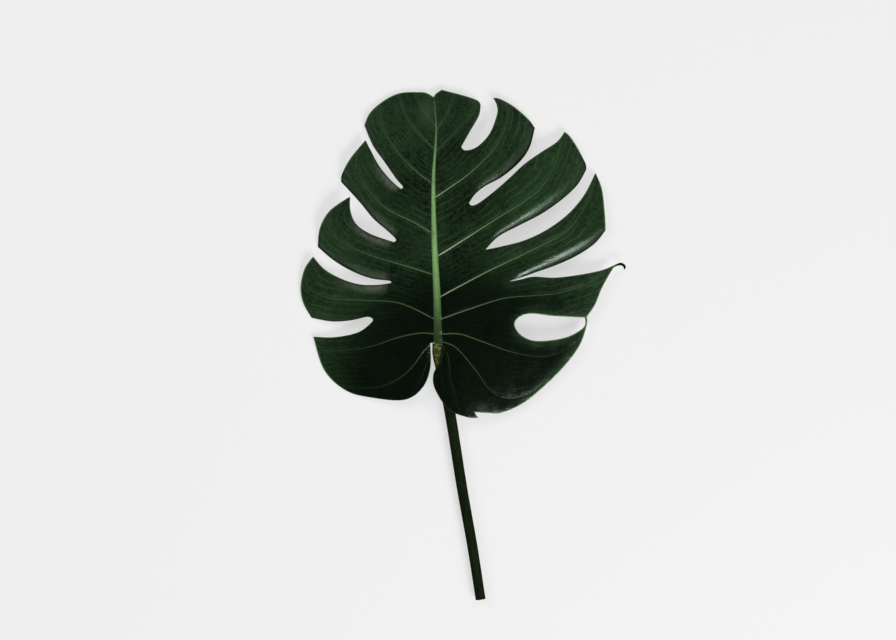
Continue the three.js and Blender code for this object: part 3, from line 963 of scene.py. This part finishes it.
def stalk_tree(settings, material):
    t = Tree("stalk_sweep")
    t.number("Ridge Depth", settings.ridge_depth * MM, "Depth of the shallow ridges along the stalk")
    t.number("Wrinkle Depth", settings.wrinkle_depth * MM, "Depth of the rings round the knee")
    t.number("Unevenness", 0.25 * MM, "How far the skin wanders in and out")
    t.material("Stalk Material", material)
    line = t.begin()
    curve = t.add("GeometryNodeMeshToCurve", [line]).outputs[0]
    radius = t.field("stalk_radius")
    ring = t.add("GeometryNodeCurvePrimitiveCircle", {"Resolution": 56, "Radius": 1.0}).outputs[0]
    turn = t.add("GeometryNodeSplineParameter").outputs["Factor"]
    ring = t.add("GeometryNodeStoreNamedAttribute", {"Geometry": ring, "Name": "around", "Value": turn},
                 data_type="FLOAT", domain="POINT").outputs[0]
    profile = {"Curve": curve, "Profile Curve": ring, "Scale": radius, "Fill Caps": True}
    swept = t.add("GeometryNodeCurveToMesh", profile).outputs[0]
    normal = t.add("GeometryNodeInputNormal").outputs[0]
    around = t.field("around")
    from_knee = t.field("from_knee")
    ridges = t.math("SINE", t.times(around, STALK_RIDGES * math.tau))
    at_knee = t.blend_curve(from_knee, 18.0, 34.0, 1.0, 0.0)
    ridges = t.times(ridges, t.given("Ridge Depth"), t.math("SUBTRACT", 1.0, at_knee))
    spread = t.add("ShaderNodeTexNoise", {"Scale": 110.0, "Detail": 3.0}).outputs[0]
    rings = t.math("SINE", t.math("ADD", t.times(from_knee, WRINKLES_PER_MM), t.times(spread, 18.0)))
    rings = t.times(rings, at_knee, t.given("Wrinkle Depth"))
    drift = t.add("ShaderNodeTexNoise", {"Scale": 45.0, "Detail": 2.0}).outputs[0]
    drift = t.times(t.math("SUBTRACT", drift, 0.5), t.given("Unevenness"))
    total = t.math("ADD", t.math("ADD", ridges, rings), drift)
    offset = t.add("ShaderNodeVectorMath", {0: normal, 3: total}, operation="SCALE").outputs[0]
    moved = t.add("GeometryNodeSetPosition", {"Geometry": swept, "Offset": offset}).outputs[0]
    smooth = t.add("GeometryNodeSetShadeSmooth", [moved]).outputs[0]
    whole = t.add("GeometryNodeRealizeInstances", [smooth]).outputs[0]
    painted = t.add("GeometryNodeSetMaterial", {"Geometry": whole, "Material": t.given("Stalk Material")})
    t.end(painted.outputs[0])
    return t


def close_stalk_ends(stalk, settings):
    """Each end's flat cap becomes rings of faces; the cut end is slightly dished, with a field of its own."""
    shape = bmesh.new()
    shape.from_mesh(stalk.data)
    bmesh.ops.remove_doubles(shape, verts=shape.verts, dist=1e-6)
    cut_field = shape.verts.layers.float.new("cut_end")
    caps = sorted((f for f in shape.faces if len(f.verts) > 8), key=lambda f: f.calc_center_median().y)
    for cap, dished in zip(caps, (1.0, 0.0)):
        centre = cap.calc_center_median()
        inward = -cap.normal * settings.cut_dish * MM * dished
        outer = list(cap.verts)
        first = [vert.co.copy() for vert in outer]
        bmesh.ops.delete(shape, geom=[cap], context="FACES_ONLY")
        for width, depth in ((0.97, -0.15), (0.9, 0.0), (0.8, 0.6), (0.6, 0.9), (0.4, 1.0), (0.2, 1.0)):
            inner = [shape.verts.new(centre + (place - centre) * width + inward * depth) for place in first]
            for vert in inner:
                vert[cut_field] = dished if width < 0.95 else 0.0
            for i, vert in enumerate(inner):
                shape.faces.new((outer[i - 1], outer[i], vert, inner[i - 1]))
            outer = inner
        tip = shape.verts.new(centre + inward)
        tip[cut_field] = dished
        for i in range(len(outer)):
            shape.faces.new((outer[i - 1], outer[i], tip))
    bmesh.ops.recalc_face_normals(shape, faces=shape.faces)
    for face in shape.faces:
        face.smooth = True
    shape.to_mesh(stalk.data)
    shape.free()


# ------------------------------------------------------------------ settings

def size_setting(name, description, default, low, high):
    return FloatProperty(name=name, description=description, default=default, min=low, max=high)


def colour_setting(name, description, shade):
    return FloatVectorProperty(name=name, description=description, subtype="COLOR", size=3,
                               min=0, max=1, default=linear(*shade))


class LeafBladeSettings(bpy.types.PropertyGroup):
    """Sizes in millimetres, and colours, of the blade."""

    point_spacing: size_setting("Point Spacing", "Distance between the mesh's points, mm", 2.0, 1.2, 6)
    thickness: size_setting("Thickness", "Thickness of the blade between its veins, mm", 0.55, 0.3, 1)
    rim_round: size_setting("Rim Round", "How far the margin is rounded outwards, mm", 0.12, 0, 0.4)
    midrib_base: size_setting("Midrib Base", "Half width of the midrib at the knee, mm", 4.8, 2, 8)
    midrib_tip: size_setting("Midrib Tip", "Half width of the midrib at the leaf's tip, mm", 0.5, 0.3, 2)
    midrib_depth: size_setting("Midrib Depth", "How far the midrib stands out below at the knee, mm",
                               9.4, 2, 12)
    midrib_proud: size_setting("Midrib Proud", "How far the midrib stands up on the face at the knee, mm",
                               0.9, 0, 2)
    quilting: size_setting("Quilting", "How far the blade swells between its side veins, mm", 1.5, 0, 3)
    groove: size_setting("Vein Groove", "Depth of the narrow groove along each side vein, mm", 0.6, 0, 1.5)
    wave: size_setting("Wave", "Height of the blade's gentle waves, mm", 0.9, 0, 3)
    margin_roll: size_setting("Margin Roll", "How far every margin rolls down, mm", 0.6, 0, 2)
    roll_width: size_setting("Roll Width", "Width of the rolled strip beside a split, mm", 15, 4, 20)
    roll_share: size_setting("Roll Share", "How much of a lobe's curl is in its rolled margin", 0.6, 0, 1)
    hook_lift: size_setting("Hook Lift", "How far the hooked lobe tip lifts, mm", 4.0, 0, 8)
    strands: IntProperty(name="Fine Veins", default=8, min=1, max=12,
                         description="Number of fine veins between two side veins")
    gloss: size_setting("Roughness", "Roughness of the face's wax", 0.29, 0.1, 0.9)
    wax: size_setting("Wax", "Strength of the wax's reflection", 1.0, 0, 1)
    dark_green: colour_setting("Dark Green", "The face's darker blotches", (8, 18, 8))
    mid_green: colour_setting("Middle Green", "The face's main colour", (23, 39, 22))
    fresh_green: colour_setting("Fresh Green", "Patches towards the lobes' outer margins", (32, 53, 29))
    light_green: colour_setting("Light Green", "Fine veins and speckles of the face", (52, 77, 49))
    # painted shade on the basal lobes and on the rolled margins' edges
    painted_shade_green: colour_setting("Deep Green", "The basal lobes and the rolled margins", (5, 11, 6))
    # painted sheen beside the left splits
    painted_sheen_green: colour_setting("Bloom Green", "The dusty bloom beside the left splits", (92, 102, 86))
    vein_green: colour_setting("Vein Green", "Side veins", (108, 142, 90))
    vein_pale: colour_setting("Vein Pale", "The roots of the palest side veins", (184, 204, 164))
    midrib_green: colour_setting("Midrib Green", "The midrib's pale band", (132, 172, 108))
    # painted shade on the midrib's sides
    midrib_side_shade: colour_setting("Midrib Edge", "The midrib's sides", (84, 122, 64))
    # painted shade on the midrib by the knee
    midrib_knee_shade: colour_setting("Midrib Root", "The midrib by the knee", (32, 46, 22))
    rim_green: colour_setting("Rim Green", "The thin rim of the outer margins", (92, 126, 74))
    under_dark: colour_setting("Underside Dark", "The underside's darker blotches", (66, 92, 58))
    under_light: colour_setting("Underside Light", "The underside's main colour", (84, 112, 74))


class LeafStalkSettings(bpy.types.PropertyGroup):
    """Sizes in millimetres, and colours, of the stalk."""

    cut_radius: size_setting("Cut Radius", "Radius of the stalk at its cut end, mm", 5.5, 3, 9)
    top_radius: size_setting("Top Radius", "Radius of the stalk under the blade, mm", 6.1, 3, 9)
    knee_swell: size_setting("Knee Swell", "How much thicker the knee is, mm", 0.5, 0, 2)
    knee_rise: size_setting("Knee Rise", "How far the stalk rises to meet the blade, mm", 7.2, 0, 8)
    clearance: size_setting("Clearance", "Height of the stalk's even skin above the floor, mm", 0.16, 0, 1)
    ridge_depth: size_setting("Ridge Depth", "Depth of the shallow ridges along the stalk, mm", 0.07, 0, 0.4)
    wrinkle_depth: size_setting("Wrinkle Depth", "Depth of the rings round the knee, mm", 0.09, 0, 0.6)
    cut_dish: size_setting("Cut Dish", "How far the cut end has sunk in, mm", 0.5, 0, 2)
    stalk_dark: colour_setting("Stalk Dark", "The stalk's darker blotches", (8, 14, 5))
    stalk_green: colour_setting("Stalk Green", "The stalk's main colour", (15, 24, 9))
    stalk_light: colour_setting("Stalk Light", "The stalk's fibres and flecks", (40, 56, 28))
    knee_olive: colour_setting("Knee Olive", "The knee's main colour", (64, 72, 34))
    knee_yellow: colour_setting("Knee Yellow", "The knee's pale patches", (132, 138, 70))
    knee_brown: colour_setting("Knee Brown", "The knee's creases", (32, 32, 18))
    pith: colour_setting("Pith", "The cut end", (176, 184, 134))


class StudioSettings(bpy.types.PropertyGroup):
    """The floor, the lights and the camera."""

    lens: size_setting("Lens", "Focal length, mm", 85, 20, 200)
    view_width: size_setting("View Width", "Width that the picture takes in at the blade, mm",
                             985.6, 200, 3000)
    view_x: size_setting("View X", "Middle of the picture, right of the knee, mm", 11, -500, 500)
    view_y: size_setting("View Y", "Middle of the picture, above the knee, mm", 27.5, -500, 500)
    floor_colour: colour_setting("Floor", "The pale floor", (140, 140, 140))
    floor_glow: size_setting("Floor Glow", "Light that the table's translucent top lets through", 0.6, 0, 1)


# ------------------------------------------------------------------ operators

def add_piece(piece, node):
    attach(piece, "root")
    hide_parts(node)


class LEAF_OT_blade(bpy.types.Operator):
    """Build the split blade with its midrib, side veins and ribs"""

    bl_idname = "leaf.blade"
    bl_label = "Blade"

    def execute(self, context):
        settings = context.scene.leaf_blade
        mesh = make_blade_mesh(settings)
        mesh.materials.append(leaf_material(settings))
        add_piece(place_object("monstera_blade", mesh), "leaf_blade")
        return {"FINISHED"}


class LEAF_OT_stalk(bpy.types.Operator):
    """Sweep the round stalk along its route, with its knee and its cut end"""

    bl_idname = "leaf.stalk"
    bl_label = "Stalk"

    def execute(self, context):
        settings = context.scene.leaf_stalk
        material = stalk_material(settings)
        route, from_knee, radius = stalk_route(settings)
        holder = route_object("monstera_stalk", route, from_knee, radius)
        stalk = stalk_tree(settings, material).apply_to(holder)
        close_stalk_ends(stalk, settings)
        add_piece(stalk, "petiole")
        return {"FINISHED"}


FLOOR_HALF_WIDTH = 6.0
# The mean height of the blade's face, which the view's width is measured at, in metres
BLADE_HEIGHT = 0.016
# Soft lights aimed at the frame's origin: place, size, power in watts, and whether the wax mirrors it
LIGHTS = (
    ("window", (1.6, -2.28, 2.05), (1.5, 1.0), 44, True),
    ("softbox_right", (1.7, -2.4, 1.75), (2.2, 1.3), 92, False),
    ("softbox_left", (-2.2, 1.6, 1.9), (1.8, 1.8), 54, False),
    ("softbox_back", (1.1, 2.5, 2.1), (1.6, 1.2), 28, False),
)


def add_light(name, place, size, power, mirrored):
    lamp = bpy.data.lights.new(name, "AREA")
    lamp.shape = "RECTANGLE"
    lamp.size, lamp.size_y = size
    lamp.energy = power
    light = place_object(name, lamp)
    light.location = place
    light.visible_glossy = mirrored
    light.rotation_euler = (-Vector(place)).to_track_quat("-Z", "Y").to_euler()


def studio_world():
    """Pale half way up, dim at the horizon and dark overhead: wax shows its sheen on slopes, not on flats."""
    world = bpy.data.worlds.new("studio")
    world.use_nodes = True
    tree = world.node_tree
    direction = tree.nodes.new("ShaderNodeTexCoord").outputs["Generated"]
    parts = tree.nodes.new("ShaderNodeSeparateXYZ")
    tree.links.new(direction, parts.inputs[0])
    strength = None
    for steps in ((0.35, 0.8, 0.18, 0.005), (0.1, 0.42, 0.2, 1.0)):
        fall = tree.nodes.new("ShaderNodeMapRange")
        fall.interpolation_type = "SMOOTHSTEP"
        for socket, value in zip(list(fall.inputs)[1:5], steps):
            socket.default_value = value
        tree.links.new(parts.outputs["Z"], fall.inputs[0])
        if strength is None:
            strength = fall.outputs[0]
        else:
            product = tree.nodes.new("ShaderNodeMath")
            product.operation = "MULTIPLY"
            tree.links.new(strength, product.inputs[0])
            tree.links.new(fall.outputs[0], product.inputs[1])
            strength = product.outputs[0]
    tree.links.new(strength, tree.nodes["Background"].inputs["Strength"])
    tree.nodes["Background"].inputs["Color"].default_value = (1, 1, 1, 1)
    return world


class LEAF_OT_studio(bpy.types.Operator):
    """Lay the pale floor, hang the soft lights and set the camera straight above the leaf"""

    bl_idname = "leaf.studio"
    bl_label = "Studio"

    def execute(self, context):
        settings = context.scene.leaf_studio
        far = FLOOR_HALF_WIDTH
        corners = [(-far, -far, 0), (far, -far, 0), (far, far, 0), (-far, far, 0)]
        mesh = bpy.data.meshes.new("floor")
        mesh.from_pydata(corners, [], [(0, 1, 2, 3)])
        s = Shades("floor")
        s.finish((*settings.floor_colour,), 0.7, s.bump(s.noise(0.3), 0.0005, 0.1),
                 Specular_IOR_Level=0.1, Emission_Color=(1, 1, 1, 1), Emission_Strength=settings.floor_glow)
        mesh.materials.append(s.material)
        floor = place_object("floor", mesh)
        floor.visible_glossy = False
        for light in LIGHTS:
            add_light(*light)
        context.scene.world = studio_world()
        camera = bpy.data.cameras.new("camera")
        camera.lens = settings.lens
        camera.sensor_width = 36
        camera.clip_end = 50
        view = place_object("camera", camera)
        middle = (drawing_to_frame() + np.array([settings.view_x, settings.view_y])) * MM
        distance = settings.view_width * MM * settings.lens / camera.sensor_width
        view.location = (middle[0], middle[1], distance + BLADE_HEIGHT)
        view.rotation_euler = (0, 0, 0)
        context.scene.camera = view
        context.scene.view_settings.view_transform = "Standard"
        return {"FINISHED"}


class LEAF_PT_panel(bpy.types.Panel):
    """The leaf's pieces and their settings"""

    bl_idname = "LEAF_PT_panel"
    bl_label = "Monstera Leaf"
    bl_space_type = "VIEW_3D"
    bl_region_type = "UI"
    bl_category = "Leaf"

    def draw(self, context):
        layout = self.layout
        scene = context.scene
        for operator, settings in (
            (LEAF_OT_blade, scene.leaf_blade),
            (LEAF_OT_stalk, scene.leaf_stalk),
            (LEAF_OT_studio, scene.leaf_studio),
        ):
            box = layout.box()
            box.operator(operator.bl_idname)
            for name in settings.bl_rna.properties.keys():
                if name not in {"rna_type", "name"}:
                    box.prop(settings, name)


CLASSES = (
    LeafBladeSettings, LeafStalkSettings, StudioSettings, LEAF_OT_blade, LEAF_OT_stalk, LEAF_OT_studio,
    LEAF_PT_panel,
)


def register():
    for item in CLASSES:
        bpy.utils.register_class(item)
    bpy.types.Scene.leaf_blade = PointerProperty(type=LeafBladeSettings)
    bpy.types.Scene.leaf_stalk = PointerProperty(type=LeafStalkSettings)
    bpy.types.Scene.leaf_studio = PointerProperty(type=StudioSettings)


def unregister():
    del bpy.types.Scene.leaf_studio
    del bpy.types.Scene.leaf_stalk
    del bpy.types.Scene.leaf_blade
    for item in reversed(CLASSES):
        bpy.utils.unregister_class(item)


def main():
    register()
    bpy.ops.leaf.blade()
    bpy.ops.leaf.stalk()
    bpy.ops.leaf.studio()


if __name__ == "__main__":
    main()
